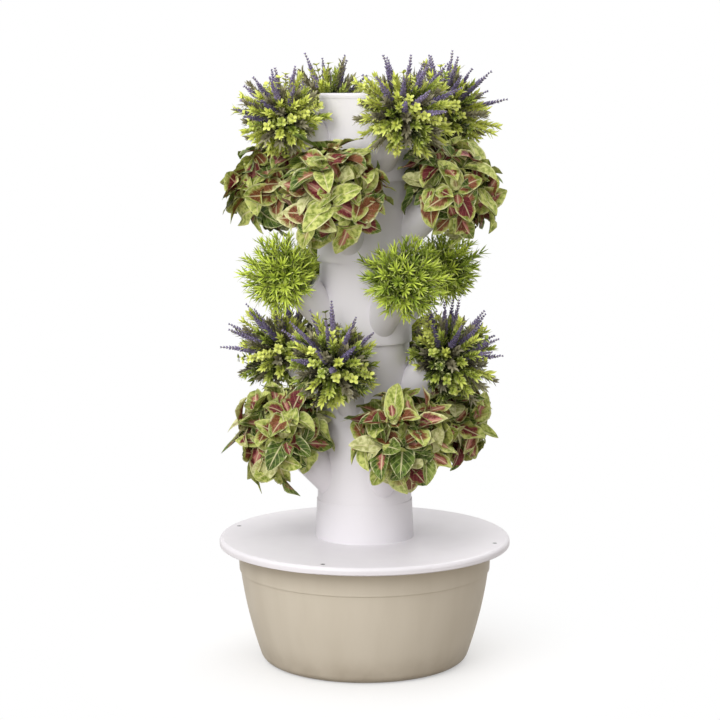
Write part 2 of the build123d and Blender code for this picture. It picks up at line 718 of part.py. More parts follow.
# From the lowest tier up, each one turned on from the one below and planted with one kind
tier = make_tier()
cup = make_net_cup()
sponge = make_sponge()
coleus = make_coleus()
lavender = make_lavender()
needle_herb = make_needle_herb()
planting = (
    ("coleus", coleus),
    ("lavender", lavender),
    ("needle_herb", needle_herb),
    ("coleus", coleus),
    ("lavender", lavender),
)
for level in range(TIER_COUNT):
    number = level + 1
    place = Pos(0, 0, STACK_Z + level * TIER_H) * Rot(0, 0, number * TIER_TURN)
    write(f"tier_{number}", place * tier)
    kind, plant = planting[level % len(planting)]
    for letter, plane in zip("abcd", pocket_planes()):
        pocket = place * plane.location
        write(f"net_cup_{number}{letter}", pocket * cup)
        write(f"{kind}_{number}{letter}", Compound([pocket * sponge, pocket * plant]))

cap_place = Pos(0, 0, STACK_TOP_Z) * Rot(0, 0, TIER_COUNT * TIER_TURN)
write("top_cap", cap_place * make_top_cap())
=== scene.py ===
import json
import math
import random
from itertools import islice
from typing import Callable, NamedTuple

import bpy
import numpy as np
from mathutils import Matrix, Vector


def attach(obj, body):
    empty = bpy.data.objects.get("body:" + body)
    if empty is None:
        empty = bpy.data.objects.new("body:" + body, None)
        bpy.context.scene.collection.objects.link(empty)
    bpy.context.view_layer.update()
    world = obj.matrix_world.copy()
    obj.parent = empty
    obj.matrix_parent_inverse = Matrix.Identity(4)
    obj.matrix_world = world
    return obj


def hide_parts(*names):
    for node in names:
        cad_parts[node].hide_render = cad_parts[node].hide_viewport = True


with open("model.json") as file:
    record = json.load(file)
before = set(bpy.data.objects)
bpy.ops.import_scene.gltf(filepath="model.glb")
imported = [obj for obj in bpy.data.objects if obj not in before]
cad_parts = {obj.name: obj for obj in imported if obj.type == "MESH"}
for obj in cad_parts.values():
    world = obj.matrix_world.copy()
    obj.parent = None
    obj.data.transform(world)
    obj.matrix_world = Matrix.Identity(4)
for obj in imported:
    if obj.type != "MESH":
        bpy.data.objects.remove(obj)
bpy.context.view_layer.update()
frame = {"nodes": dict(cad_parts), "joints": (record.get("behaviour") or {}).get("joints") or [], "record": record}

# Camera, in metres, degrees and millimetres of lens: a long lens, above the middle of the tower
CAMERA_AZIMUTH = 20
CAMERA_DISTANCE = 3.6
CAMERA_HEIGHT = 1.032
CAMERA_PITCH = 7.78
CAMERA_YAW = 0.13
CAMERA_LENS = 102.3
CAMERA_SENSOR = 36

# Light: the room's strength at the horizon and overhead, its tint, and the height the lamps aim at
SKY_LOW = 0.18
SKY_HIGH = 1.25
SKY_TINT = (1, 0.985, 0.97, 1)
LAMP_AIM = 0.6

# Floor: half its side, its colour in the room's light and as seen, the distances from the tower's axis
# between which it turns to plain white, and its share of white at the axis
FLOOR_HALF = 30
FLOOR_ROOM = (0.40, 0.37, 0.335)
FLOOR_SEEN = (0.93, 0.93, 0.93)
FLOOR_NEAR = 0.10
FLOOR_FAR = 0.55
FLOOR_LEAST_WHITE = 0.35

# Cup and pocket, in metres, as the solids have them: the cup's flange, the pocket's inner radius and
# length, and the room that is kept for the pocket's wall outside that radius and for the cup inside it
CUP_FLANGE = 0.0025
POCKET_R = 0.033
POCKET_LENGTH = 0.092
POCKET_WALL = 0.005
CUP_WALL = 0.008

# Grow sponge: its top and floor below the pocket's mouth, its radius at its lower end and at its top,
# its rounded edge, its crown, the share by which its skin is uneven, and its mesh
SPONGE_TOP = 0.012
SPONGE_FLOOR = 0.0532
SPONGE_END_R = 0.0178
SPONGE_TOP_R = 0.0238
SPONGE_ROUND = 0.004
SPONGE_CROWN = 0.001
SPONGE_UNEVEN = 0.02
SPONGE_SIDES = 24
SPONGE_RINGS = 8

# A plant's hub, from which its stalks spread: its height over the pocket's mouth and its way out
HUB_UP = 0.036
HUB_OUT = 0.015

# Points along every stalk
STALK_POINTS = 8

# Stalks of each kind: their number, widest lean in degrees on the falling side and on the column's
# side, length from the hub between two limits, and radius at the foot and at the tip
COLEUS_STALKS = 23
COLEUS_SPREAD = (128, 116)
COLEUS_REACH = (0.050, 0.072)
COLEUS_STEM = (0.0021, 0.0011)
HERB_SPRIGS = 80
HERB_SPREAD = (136, 116)
HERB_REACH = (0.050, 0.066)
HERB_STEM = (0.0012, 0.0007)
LAVENDER_SPRIGS = 104
LAVENDER_SPREAD = (150, 130)
LAVENDER_REACH = (0.060, 0.086)
LAVENDER_STEM = (0.0013, 0.0007)

# Coleus: its rise over the hub, and each whorl's share of the stalk, number of leaves and their size
COLEUS_RISE = 0.014
COLEUS_WHORLS = ((0.74, 2, 0.85), (0.95, 4, 1.0), (1.0, 2, 0.55))

# Coleus leaf: its length, its width as a share of that, how far it points along its stalk, tilts, bends,
# folds and waves between two limits, its turn by chance, its stem, and how far it and its face look up
COLEUS_LEAF = (0.046, 0.070)
COLEUS_LEAF_WIDTH = (0.54, 0.72)
COLEUS_FORWARD = (0.3, 0.9)
COLEUS_TILT = (-0.3, 0.1)
COLEUS_BEND = (-0.1, 1.3)
COLEUS_FOLD = (0.05, 0.55)
COLEUS_WAVE = (0.0, 0.32)
COLEUS_PLAY = 0.35
COLEUS_LEAF_STEM = 0.003
COLEUS_LIFT = 0.1
COLEUS_FACE_UP = 0.45

# Limits of the chance shade of a herb's sprigs
HERB_SHADES = (-0.45, 0.2)

# Lavender's sprigs: one in how many has round leaves, one in how many of its plumes is grey, their chance shades,
# and the painted shade that darkens those that lean over by more than so many radians, under the plant
ROUND_EVERY = 4
GREY_EVERY = 3
LAVENDER_SHADES = (-0.6, -0.3, 0.0, 0.15, 0.3)
UNDER_PAINTED_SHADE = 0.2
FAR_OVER = 1.5

# Flower spikes of a lavender: their number, widest lean in degrees, lift of their middle, first turn,
# length from the hub between two limits, and points along their stalk and its radius at foot and tip
SPIKES = 14
SPIKE_SPREAD = 60
SPIKE_LIFT = 0.35
SPIKE_TURN = 0.6
SPIKE_REACH = (0.090, 0.116)
SPIKE_POINTS = 10
SPIKE_STEM = (0.0011, 0.0005)

# One spike: the share of its stalk where it starts, its rings and their buds, the share of it from which
# a ring has a bud less, the turn from ring to ring, a bud's turn by chance and lean outwards, its length
# and radius at the spike's foot and tip, and the limits of the spike's tone and of a bud's about it
SPIKE_START = 0.66
SPIKE_RINGS = 14
SPIKE_RING = 4
SPIKE_THIN = 0.75
SPIKE_TWIST = 0.8
SPIKE_PLAY = 0.3
BUD_LEAN = (0.5, 1.1)
BUD_LENGTH = (0.0118, 0.0040)
BUD_R = (0.0039, 0.00125)
SPIKE_TONE = (0.1, 0.9)
BUD_TONE = 0.3

# Lobes of a bushy plant: their number, lean from the pocket's axis in radians, the share of a sprig's
# reach between them and at one, and how sharp they are
LOBES = 5
LOBE_LEAN = (0.2, 1.8)
LOBE_LOW = 0.82
LOBE_HIGH = 1.16
LOBE_SHARP = 6

# Long coleus stalks that trail out of one pocket: their tips' way out, aside and up from the hub
TRAILING = {"4a": ((0.085, 0.030, 0.0), (0.080, -0.035, 0.012))}

# A plant that is smaller and hangs lower than its kind: the share of its reach, and its hub's drop
SMALLER = {"5a": (0.87, 0.010)}

# Painted light and shade: plants made lighter or darker than their kind by how the light falls on them, the top
# tier lighter
PAINTED_LIGHT_TONE = {"3b": 0.10, "3c": -0.16, "3d": -0.10, "5a": 0.25, "5b": 0.12, "5d": 0.15}

# Every leaf's mesh: the share of its length cut off at its ends, its least bend, and its waves' pace
# along it and by chance
LEAF_END = 0.01
LEAST_BEND = 1e-3
WAVE_PACE = 9
WAVE_CHANCE = 20

# Bud's outline, as shares of its length and of its radius, and its sides
BUD_OUTLINE = ((0.0, 0.35), (0.45, 1.0), (1.0, 0.08))
BUD_SIDES = 4

# Upright, and directions a little off it, from which rings about stalks and buds are turned
UP = np.array((0.0, 0.0, 1.0))
STEM_START = UP + np.array((0.3, 0.2, 0.0))
BUD_START = UP + np.array((0.21, 0.13, 0.0))
WHORL_START = UP + np.array((0.11, 0.23, 0.0))

GOLDEN = math.radians(137.5)
FULL_TURN = 2 * math.pi

# Places of the materials in a plant's mesh
LEAF = 0
STALK = 1
GREY_LEAF = 2
FLOWER = 3


class Blade(NamedTuple):
    """Outline of a leaf: its cells, the share of its length where it is widest, and its ends' sharpness."""

    rows: int
    columns: int
    belly: float
    point: float


class Habit(NamedTuple):
    """How small leaves grow along a sprig, in metres and radians."""

    # Share of the sprig where the leaves start, their rings, leaves in a ring, and turn from ring to ring
    start: float
    rings: int
    ring: int
    twist: float
    # A leaf's turn by chance, and how far it points out and along the sprig, by chance and share
    play: float
    lean: Callable
    # A leaf's length, width and bend between two limits, its fold, how far its face looks up, and outline
    length: tuple
    width: tuple
    bend: tuple
    fold: float
    face_up: float
    blade: Blade
    # A leaf's tone: its gain along the sprig and its tone at the sprig's foot, which paint shade on the leaves
    # deep inside the plant, and its play by chance
    inner_shade_gain: float
    inner_shade_foot: float
    tone_play: float


COLEUS_BLADE = Blade(8, 6, 0.40, 1.3)
NEEDLES = Habit(
    start=0.55, rings=7, ring=6, twist=0.5, play=0.3,
    lean=lambda r, share: (1.2 - 0.6 * share, 0.35 + 0.5 * share),
    length=(0.016, 0.025), width=(0.0026, 0.0036), bend=(-0.4, 0.5), fold=0.3, face_up=0.3,
    blade=Blade(3, 2, 0.45, 1.2), inner_shade_gain=1.9, inner_shade_foot=-0.85, tone_play=0.25,
)
ROUND_LEAVES = Habit(
    start=0.5, rings=8, ring=4, twist=0.8, play=0.25,
    lean=lambda r, share: (1.0, r.uniform(0.3, 0.7)),
    length=(0.008, 0.011), width=(0.0055, 0.0075), bend=(-0.2, 0.5), fold=0.2, face_up=0.5,
    blade=Blade(4, 2, 0.55, 0.9), inner_shade_gain=1.8, inner_shade_foot=-0.80, tone_play=0.2,
)
PLUME = Habit(
    start=0.5, rings=11, ring=5, twist=1.05, play=0.25,
    lean=lambda r, share: (0.75, 1.0),
    length=(0.013, 0.019), width=(0.0040, 0.0052), bend=(-0.6, 0.2), fold=0.25, face_up=0.4,
    blade=Blade(3, 2, 0.5, 1.1), inner_shade_gain=1.8, inner_shade_foot=-0.80, tone_play=0.2,
)


def unit(v):
    """v at a length of 1."""
    return v / np.linalg.norm(v)


def between(limits, share):
    """Value at a share of the way from the first limit to the second."""
    return limits[0] + (limits[1] - limits[0]) * share


def turned_about(v, axis, angle):
    """v turned about a unit axis."""
    c, s = math.cos(angle), math.sin(angle)
    return v * c + np.cross(axis, v) * s + axis * np.dot(axis, v) * (1 - c)


def link(thing):
    """Puts a new object into the scene."""
    bpy.context.scene.collection.objects.link(thing)
    return thing


# Camera, light and floor


def make_camera():
    """The photograph's view."""
    data = bpy.data.cameras.new("camera")
    data.lens = CAMERA_LENS
    data.sensor_width = CAMERA_SENSOR
    camera = link(bpy.data.objects.new("camera", data))
    a = math.radians(CAMERA_AZIMUTH)
    camera.location = (CAMERA_DISTANCE * math.sin(a), -CAMERA_DISTANCE * math.cos(a), CAMERA_HEIGHT)
    camera.rotation_euler = (math.radians(90 - CAMERA_PITCH), 0, a + math.radians(CAMERA_YAW))
    bpy.context.scene.camera = camera


def make_lamp(name, azimuth, elevation, distance, size, power):
    """Area lamp aimed at the middle of the tower; azimuth is from the camera's side, to the right."""
    data = bpy.data.lights.new(name, "AREA")
    data.shape = "DISK"
    data.size = size
    data.energy = power
    lamp = link(bpy.data.objects.new(name, data))
    a = math.radians(CAMERA_AZIMUTH + azimuth)
    e = math.radians(elevation)
    away = Vector((math.sin(a) * math.cos(e), -math.cos(a) * math.cos(e), math.sin(e)))
    lamp.location = Vector((0, 0, LAMP_AIM)) + away * distance
    lamp.rotation_euler = (-away).to_track_quat("-Z", "Y").to_euler()


def seen_directly(tree):
    """Socket that is 1 on camera, glossy and transmission rays."""
    path = tree.nodes.new("ShaderNodeLightPath")
    either = tree.nodes.new("ShaderNodeMath")
    either.operation = "MAXIMUM"
    tree.links.new(path.outputs["Is Camera Ray"], either.inputs[0])
    tree.links.new(path.outputs["Is Glossy Ray"], either.inputs[1])
    any_of_three = tree.nodes.new("ShaderNodeMath")
    any_of_three.operation = "MAXIMUM"
    tree.links.new(either.outputs[0], any_of_three.inputs[0])
    tree.links.new(path.outputs["Is Transmission Ray"], any_of_three.inputs[1])
    return any_of_three.outputs[0]


def make_world():
    """Soft light from overhead, plain white where the camera or a reflection looks past the floor."""
    world = bpy.data.worlds.new("studio")
    bpy.context.scene.world = world
    world.use_nodes = True
    tree = world.node_tree
    tree.nodes.clear()
    out = tree.nodes.new("ShaderNodeOutputWorld")
    mix = tree.nodes.new("ShaderNodeMixShader")
    place = tree.nodes.new("ShaderNodeTexCoord")
    parts = tree.nodes.new("ShaderNodeSeparateXYZ")
    ramp = tree.nodes.new("ShaderNodeMapRange")
    ramp.inputs["To Min"].default_value = SKY_LOW
    ramp.inputs["To Max"].default_value = SKY_HIGH
    room = tree.nodes.new("ShaderNodeBackground")
    room.inputs["Color"].default_value = SKY_TINT
    white = tree.nodes.new("ShaderNodeBackground")
    white.inputs["Color"].default_value = (1, 1, 1, 1)
    white.inputs["Strength"].default_value = 1
    tree.links.new(place.outputs["Generated"], parts.inputs[0])
    tree.links.new(parts.outputs["Z"], ramp.inputs["Value"])
    tree.links.new(ramp.outputs["Result"], room.inputs["Strength"])
    tree.links.new(seen_directly(tree), mix.inputs["Fac"])
    tree.links.new(room.outputs[0], mix.inputs[1])
    tree.links.new(white.outputs[0], mix.inputs[2])
    tree.links.new(mix.outputs[0], out.inputs["Surface"])


def make_floor():
    """Pale floor that takes the tower's shadow and turns to plain white away from it."""
    n = Nodes("floor")
    seen = seen_directly(n.tree)
    shaded = n.add("ShaderNodeBsdfDiffuse", Color=n.mix(seen, FLOOR_ROOM, FLOOR_SEEN))
    white = n.add("ShaderNodeEmission", Strength=1.0)
    distance = n.add("ShaderNodeVectorMath")
    distance.operation = "LENGTH"
    n.put(distance.inputs[0], n.add("ShaderNodeTexCoord").outputs["Object"])
    whiteness = n.step(distance.outputs["Value"], FLOOR_NEAR, FLOOR_FAR, FLOOR_LEAST_WHITE)
    mix = n.add("ShaderNodeMixShader", Fac=n.math("MULTIPLY", whiteness, seen))
    n.put(mix.inputs[1], shaded.outputs[0])
    n.put(mix.inputs[2], white.outputs[0])
    n.put(n.tree.nodes["Material Output"].inputs["Surface"], mix.outputs[0])
    n.tree.nodes.remove(n.shader)
    corners = [(x * FLOOR_HALF, y * FLOOR_HALF, 0) for x, y in ((-1, -1), (1, -1), (1, 1), (-1, 1))]
    mesh = bpy.data.meshes.new("floor")
    mesh.from_pydata(corners, [], [(0, 1, 2, 3)])
    mesh.materials.append(n.material)
    link(bpy.data.objects.new("floor", mesh))


# Materials


class Nodes:
    """Shorthand for building one material's nodes."""

    def __init__(self, name):
        self.material = bpy.data.materials.new(name)
        self.material.use_nodes = True
        self.tree = self.material.node_tree
        self.shader = self.tree.nodes["Principled BSDF"]

    def add(self, kind, **inputs):
        """New node, with values or sockets for its inputs."""
        node = self.tree.nodes.new(kind)
        for key, value in inputs.items():
            self.put(node.inputs[key], value)
        return node

    def put(self, socket, value):
        """Links a socket to another, or sets it to a plain value."""
        if isinstance(value, bpy.types.NodeSocket):
            self.tree.links.new(value, socket)
        else:
            socket.default_value = value

    def set(self, name, value):
        """Gives the shader's input a value or socket."""
        self.put(self.shader.inputs[name], value)

    def math(self, operation, a, b=0.0, clamp=False):
        """Result of a sum on one or two values."""
        node = self.tree.nodes.new("ShaderNodeMath")
        node.operation = operation
        node.use_clamp = clamp
        self.put(node.inputs[0], a)
        self.put(node.inputs[1], b)
        return node.outputs[0]

    def step(self, value, low, high, to_low=0.0, to_high=1.0):
        """Smooth step from to_low to to_high as value goes from low to high."""
        node = self.tree.nodes.new("ShaderNodeMapRange")
        node.interpolation_type = "SMOOTHSTEP"
        settings = {"Value": value, "From Min": low, "From Max": high, "To Min": to_low, "To Max": to_high}
        for key, setting in settings.items():
            self.put(node.inputs[key], setting)
        return node.outputs["Result"]

    def mix(self, factor, a, b):
        """Colour between a and b."""
        node = self.tree.nodes.new("ShaderNodeMix")
        node.data_type = "RGBA"
        self.put(node.inputs["Factor"], factor)
        for socket, value in zip([s for s in node.inputs if s.type == "RGBA"], (a, b)):
            self.put(socket, value if isinstance(value, bpy.types.NodeSocket) else (*value, 1))
        return [s for s in node.outputs if s.type == "RGBA"][0]

    def noise(self, scale, detail=3.0, where=None):
        """Cloudy pattern, in the object's own place unless another is given."""
        if where is None:
            where = self.add("ShaderNodeTexCoord").outputs["Object"]
        return self.add("ShaderNodeTexNoise", Scale=scale, Detail=detail, Vector=where).outputs["Fac"]

    def bump(self, height, strength, distance):
        """Fine relief of the surface."""
        node = self.add("ShaderNodeBump", Height=height, Strength=strength, Distance=distance)
        self.set("Normal", node.outputs["Normal"])

    def leaf(self):
        """Sockets of a leaf's own map: along it, across it and its chance value."""
        node = self.tree.nodes.new("ShaderNodeAttribute")
        node.attribute_name = "leaf"
        return self.add("ShaderNodeSeparateXYZ", Vector=node.outputs["Vector"]).outputs


def moulded(name, colour, shade, rough):
    """Moulded plastic: faint clouding, a fine skin and a sheen that varies a little."""
    n = Nodes(name)
    n.set("Base Color", n.mix(n.step(n.noise(5.0, 4.0), 0.3, 0.75), colour, shade))
    n.set("Roughness", n.step(n.noise(30, 5.0), 0.25, 0.8, rough - 0.06, rough + 0.08))
    n.set("Specular IOR Level", 0.4)
    n.bump(n.noise(900, 2.0), 0.06, 0.0004)
    return n.material


def tank_plastic():
    """Beige tank wall: clouded colour, faint upright flow marks, and patches that get darker towards the bottom.
    """
    pale = (0.66, 0.60, 0.50)
    deep = (0.62, 0.56, 0.46)
    dark_foot_colour = (0.40, 0.34, 0.26)
    dark_foot_top = 0.06
    n = Nodes("tank_plastic")
    where = n.add("ShaderNodeTexCoord").outputs["Object"]
    upright = n.add("ShaderNodeMapping", Vector=where, Scale=(9, 9, 0.8)).outputs[0]
    plain = n.mix(n.step(n.noise(2.2, 4.0, upright), 0.3, 0.75), pale, deep)
    height = n.add("ShaderNodeSeparateXYZ", Vector=where).outputs["Z"]
    # Darker in patches towards the bottom of the wall
    dark_foot = n.math("MULTIPLY", n.step(height, dark_foot_top, 0.0), n.noise(30, 5.0))
    n.set("Base Color", n.mix(dark_foot, plain, dark_foot_colour))
    n.set("Roughness", n.step(n.noise(22, 5.0), 0.25, 0.8, 0.46, 0.6))
    n.set("Specular IOR Level", 0.1)
    n.bump(n.noise(800, 2.0), 0.07, 0.0004)
    return n.material


def brushed_steel():
    """Dark steel with a fine grain in one direction."""
    n = Nodes("screw_steel")
    place = n.add("ShaderNodeTexCoord").outputs["Object"]
    drawn = n.add("ShaderNodeMapping", Vector=place, Scale=(40, 900, 900)).outputs[0]
    grain = n.noise(3.0, 4.0, drawn)
    n.set("Base Color", n.mix(grain, (0.20, 0.20, 0.205), (0.30, 0.30, 0.30)))
    n.set("Metallic", 1.0)
    n.set("Roughness", n.step(grain, 0.2, 0.8, 0.32, 0.5))
    n.bump(grain, 0.05, 0.0002)
    return n.material


def dull_rubber():
    """Black rubber with a matt, uneven skin."""
    n = Nodes("seal_rubber")
    n.set("Base Color", n.mix(n.noise(60, 4.0), (0.018, 0.018, 0.018), (0.034, 0.033, 0.032)))
    n.set("Roughness", n.step(n.noise(140, 3.0), 0.3, 0.7, 0.62, 0.8))
    n.bump(n.noise(1200, 2.0), 0.12, 0.0004)
    return n.material


def foam():
    """Open grow sponge, with painted shade darkening its pores."""
    n = Nodes("grow_sponge")
    cells = n.add("ShaderNodeTexVoronoi", Scale=420.0).outputs["Distance"]
    # Dark pores: painted shade in the sponge's hollows, where the bump sinks
    n.set("Base Color", n.mix(n.step(cells, 0.1, 0.6), (0.05, 0.045, 0.035), (0.20, 0.17, 0.11)))
    n.set("Roughness", n.step(cells, 0.0, 0.6, 0.95, 0.8))
    n.bump(cells, 0.6, 0.0012)
    return n.material


def coleus_leaf():
    """Green leaf with a brown or wine-red heart, pink veins and a cream rib and edge, no two alike."""
    halo_brown = (0.25, 0.135, 0.045)
    blush_pink = (0.60, 0.25, 0.21)
    vein_pink = (0.48, 0.20, 0.14)
    vein_pale = (0.60, 0.60, 0.27)
    rib_cream = (0.72, 0.66, 0.38)
    rim_cream = (0.74, 0.72, 0.40)
    vein_rows = 6.0
    n = Nodes("coleus_leaf")
    along, across, chance = n.leaf()
    side = n.math("ABSOLUTE", across)
    mottle = n.noise(130, 4.0)
    fine = n.noise(620, 3.0)

    # Blade: deep green, lime or cream by chance, in patches
    patch = n.step(mottle, 0.35, 0.65)
    variety = n.math("FRACT", n.math("MULTIPLY", chance, 7.0))
    deep = n.mix(patch, (0.14, 0.21, 0.035), (0.036, 0.065, 0.008))
    lime = n.mix(patch, (0.60, 0.64, 0.190), (0.20, 0.26, 0.035))
    cream = n.mix(patch, (0.76, 0.75, 0.40), (0.38, 0.39, 0.13))
    blade = n.mix(n.step(variety, 0.16, 0.30), deep, lime)
    blade = n.mix(n.step(variety, 0.72, 0.92), blade, cream)

    # Heart: a ragged field about the rib, wine-red or brown, with a brown halo, on most leaves
    ragged = n.math("ADD", n.math("MULTIPLY", n.noise(75, 3.0), 1.1), n.math("MULTIPLY", mottle, 0.9))
    edge = n.math("ADD", side, n.math("SUBTRACT", ragged, 1.0))
    ends = n.math("ADD", n.step(along, 0.28, 0.02), n.step(along, 0.62, 0.95), clamp=True)
    reach = n.step(chance, 0.30, 1.0, 0.15, 0.80)
    past = n.math("SUBTRACT", n.math("ADD", edge, ends), reach)
    present = n.step(chance, 0.32, 0.48)
    halo = n.math("MULTIPLY", present, n.step(past, 0.34, 0.02))
    heart = n.math("MULTIPLY", present, n.step(past, 0.12, -0.10))
    wine = n.mix(n.step(fine, 0.3, 0.7), (0.220, 0.034, 0.040), (0.070, 0.013, 0.014))
    brown = n.mix(n.step(fine, 0.3, 0.7), (0.270, 0.100, 0.038), (0.095, 0.034, 0.013))
    warmth = n.step(n.math("FRACT", n.math("MULTIPLY", chance, 29.0)), 0.35, 0.65)
    painted = n.mix(n.math("MULTIPLY", halo, 0.8), blade, halo_brown)
    painted = n.mix(heart, painted, n.mix(warmth, wine, brown))

    # Pink blush in some hearts, pink veins on the heart and pale ones on the green
    slanted = n.math("SUBTRACT", along, n.math("MULTIPLY", side, 0.30))
    rows = n.math("FRACT", n.math("MULTIPLY", slanted, vein_rows))
    vein = n.step(n.math("ABSOLUTE", n.math("SUBTRACT", rows, 0.5)), 0.12, 0.02)
    inner = n.math("ADD", side, n.math("MULTIPLY", mottle, -0.9))
    blush = n.math("MULTIPLY", heart, n.step(inner, 0.0, -0.25))
    blush = n.math("MULTIPLY", blush, n.step(n.math("FRACT", n.math("MULTIPLY", chance, 13.0)), 0.45, 0.85))
    painted = n.mix(n.math("MULTIPLY", blush, 0.8), painted, blush_pink)
    painted = n.mix(n.math("MULTIPLY", vein, n.math("MULTIPLY", heart, 0.30)), painted, vein_pink)
    on_green = n.math("SUBTRACT", 0.35, n.math("MULTIPLY", heart, 0.35))
    painted = n.mix(n.math("MULTIPLY", vein, on_green), painted, vein_pale)

    # Cream rib and broken cream rim
    painted = n.mix(n.math("MULTIPLY", n.step(side, 0.10, 0.02), 0.75), painted, rib_cream)
    rim = n.math("MULTIPLY", n.step(side, 0.80, 0.97), n.step(mottle, 0.36, 0.62))
    painted = n.mix(n.math("MULTIPLY", rim, 0.85), painted, rim_cream)
    n.set("Base Color", painted)
    n.set("Roughness", n.step(fine, 0.3, 0.7, 0.45, 0.62))
    n.set("Specular IOR Level", 0.18)
    n.bump(n.math("ADD", n.math("MULTIPLY", vein, -0.6), n.math("MULTIPLY", fine, 0.5)), 0.4, 0.0010)
    return n.material


def small_leaf(name, bright, middle, dark, tip):
    """Small leaf, dark at its foot and pale at its tip, each one a little different."""
    n = Nodes(name)
    along, across, chance = n.leaf()
    mottle = n.noise(300, 3.0)
    body = n.mix(n.step(chance, 0.35, 1.0), n.mix(n.step(chance, 0.0, 0.45), dark, middle), bright)
    body = n.mix(n.math("MULTIPLY", n.step(along, 0.45, 0.0), 0.75), body, dark)
    body = n.mix(n.math("MULTIPLY", n.step(along, 0.6, 1.0), n.step(mottle, 0.35, 0.65)), body, tip)
    rib = n.math("MULTIPLY", n.step(n.math("ABSOLUTE", across), 0.22, 0.0), 0.35)
    n.set("Base Color", n.mix(rib, body, tip))
    n.set("Roughness", n.step(mottle, 0.3, 0.7, 0.42, 0.6))
    n.set("Specular IOR Level", 0.15)
    n.bump(mottle, 0.2, 0.0005)
    return n.material


def flower():
    """Dry purple buds, greyer at the foot of each one and pale in flecks."""
    n = Nodes("lavender_flower")
    along, _, chance = n.leaf()
    mottle = n.noise(420, 3.0)
    purple = n.mix(chance, (0.16, 0.13, 0.27), (0.36, 0.30, 0.50))
    purple = n.mix(n.step(along, 0.45, 0.0), purple, (0.11, 0.10, 0.14))
    n.set("Base Color", n.mix(n.step(mottle, 0.55, 0.8), purple, (0.42, 0.39, 0.48)))
    n.set("Roughness", n.step(mottle, 0.3, 0.7, 0.7, 0.9))
    n.bump(mottle, 0.4, 0.0006)
    return n.material


def stalk():
    """Green stalk with woody patches."""
    n = Nodes("stalk")
    _, _, chance = n.leaf()
    n.set("Base Color", n.mix(n.step(n.noise(200, 3.0), 0.3, 0.7), (0.26, 0.27, 0.10), (0.38, 0.31, 0.19)))
    n.set("Roughness", n.step(chance, 0.0, 1.0, 0.5, 0.7))
    n.bump(n.noise(500, 2.0), 0.2, 0.0004)
    return n.material


# Foliage


